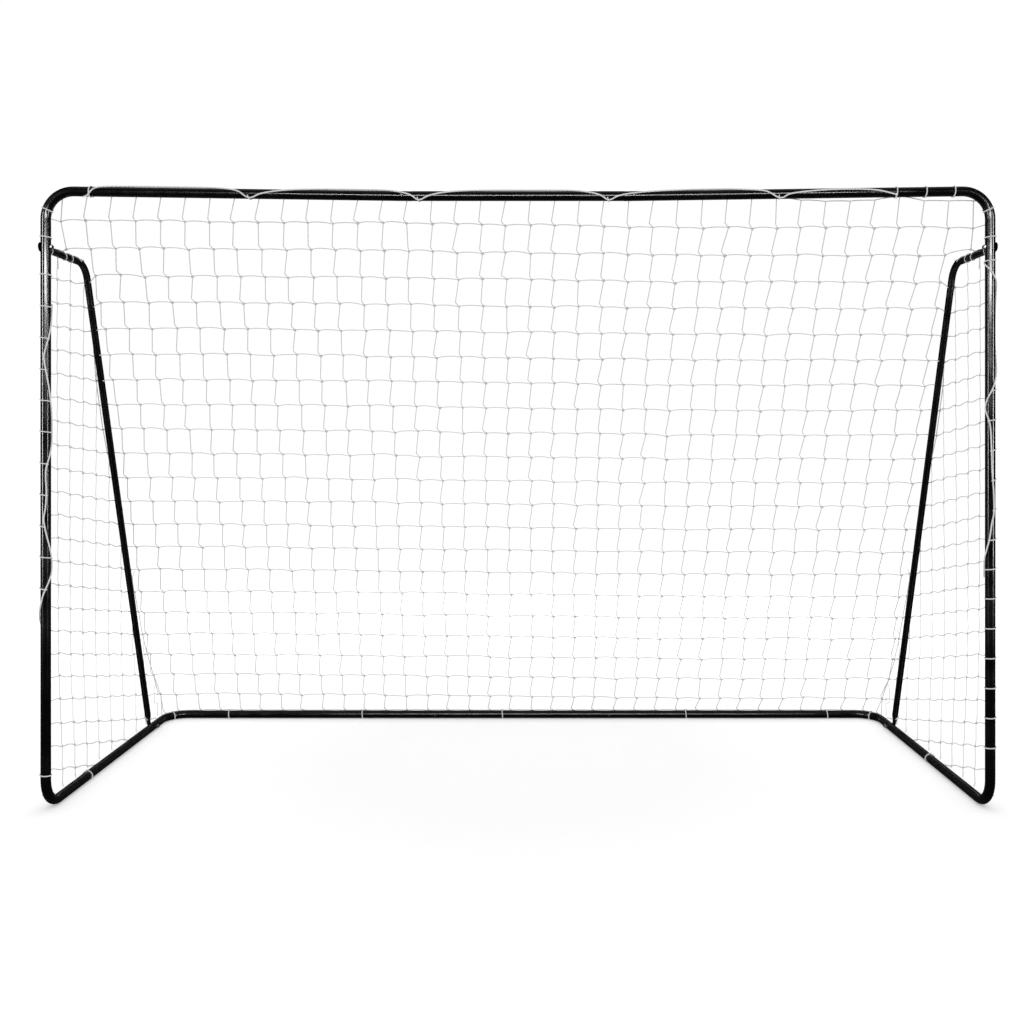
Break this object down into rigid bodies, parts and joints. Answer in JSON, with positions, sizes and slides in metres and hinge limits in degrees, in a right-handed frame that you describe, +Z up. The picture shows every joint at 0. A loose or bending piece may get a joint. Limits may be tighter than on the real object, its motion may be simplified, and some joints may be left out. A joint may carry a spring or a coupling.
{
  "type": "soccer goal",
  "caption": "Backyard soccer goal of black slip-together steel tube with side braces, snap-button joints and a laced-on white net.",
  "frame": {"origin": "middle of the goal's footprint, at ground level", "axes": "+X along the crossbar to the right as seen from in front of the mouth, +Y from the mouth towards the rear bar, +Z up"},
  "size_m": [2.4684, 0.9188, 1.6044],
  "materials": {
    "frame_paint": "gloss",
    "bolt_black": "satin",
    "zinc": "satin",
    "button_steel": "satin",
    "spring_steel": "satin",
    "net_twine": "matte",
    "rope": "matte"
  },
  "bodies": {
    "frame": {"crossbar_tube": "frame_paint", "rear_tube": "frame_paint", "top_corner_left": "frame_paint", "top_corner_right": "frame_paint", "post_left": "frame_paint", "post_right": "frame_paint", "side_rail_left": "frame_paint", "side_rail_right": "frame_paint", "rear_corner_left": "frame_paint", "rear_corner_right": "frame_paint", "brace_left": "frame_paint", "brace_right": "frame_paint", "brace_bolts": "bolt_black", "brace_nuts": "zinc", "crossbar_spring_left": "spring_steel", "crossbar_spring_right": "spring_steel", "rear_spring_left": "spring_steel", "rear_spring_right": "spring_steel", "rail_spring_left": "spring_steel", "rail_spring_right": "spring_steel", "net_back": "net_twine", "net_left": "net_twine", "net_right": "net_twine", "crossbar_rope": "rope", "left_post_rope": "rope", "right_post_rope": "rope", "crossbar_loops": "rope", "post_loops_left": "rope", "post_loops_right": "rope", "ground_ties": "rope"},
    "crossbar_button_left": {"crossbar_button_left": "button_steel"},
    "crossbar_button_right": {"crossbar_button_right": "button_steel"},
    "rear_button_left": {"rear_button_left": "button_steel"},
    "rear_button_right": {"rear_button_right": "button_steel"},
    "rail_button_left": {"rail_button_left": "button_steel"},
    "rail_button_right": {"rail_button_right": "button_steel"}
  },
  "joints": [
    {"name": "crossbar_button_left_press", "type": "slide", "parent": "frame", "child": "crossbar_button_left", "axis": [0, 1, 0], "range_m": [0, 0.0042], "stiffness_N_per_m": 600, "springref_m": -0.002, "deforming": ["crossbar_spring_left"]},
    {"name": "crossbar_button_right_press", "type": "slide", "parent": "frame", "child": "crossbar_button_right", "axis": [0, 1, 0], "range_m": [0, 0.0042], "stiffness_N_per_m": 600, "springref_m": -0.002, "deforming": ["crossbar_spring_right"]},
    {"name": "rear_button_left_press", "type": "slide", "parent": "frame", "child": "rear_button_left", "axis": [0, 1, 0], "range_m": [0, 0.0042], "stiffness_N_per_m": 600, "springref_m": -0.002, "deforming": ["rear_spring_left"]},
    {"name": "rear_button_right_press", "type": "slide", "parent": "frame", "child": "rear_button_right", "axis": [0, 1, 0], "range_m": [0, 0.0042], "stiffness_N_per_m": 600, "springref_m": -0.002, "deforming": ["rear_spring_right"]},
    {"name": "rail_button_left_press", "type": "slide", "parent": "frame", "child": "rail_button_left", "axis": [1, 0, 0], "range_m": [0, 0.0042], "stiffness_N_per_m": 600, "springref_m": -0.002, "deforming": ["rail_spring_left"]},
    {"name": "rail_button_right_press", "type": "slide", "parent": "frame", "child": "rail_button_right", "axis": [-1, 0, 0], "range_m": [0, 0.0042], "stiffness_N_per_m": 600, "springref_m": -0.002, "deforming": ["rail_spring_right"]}
  ]
}
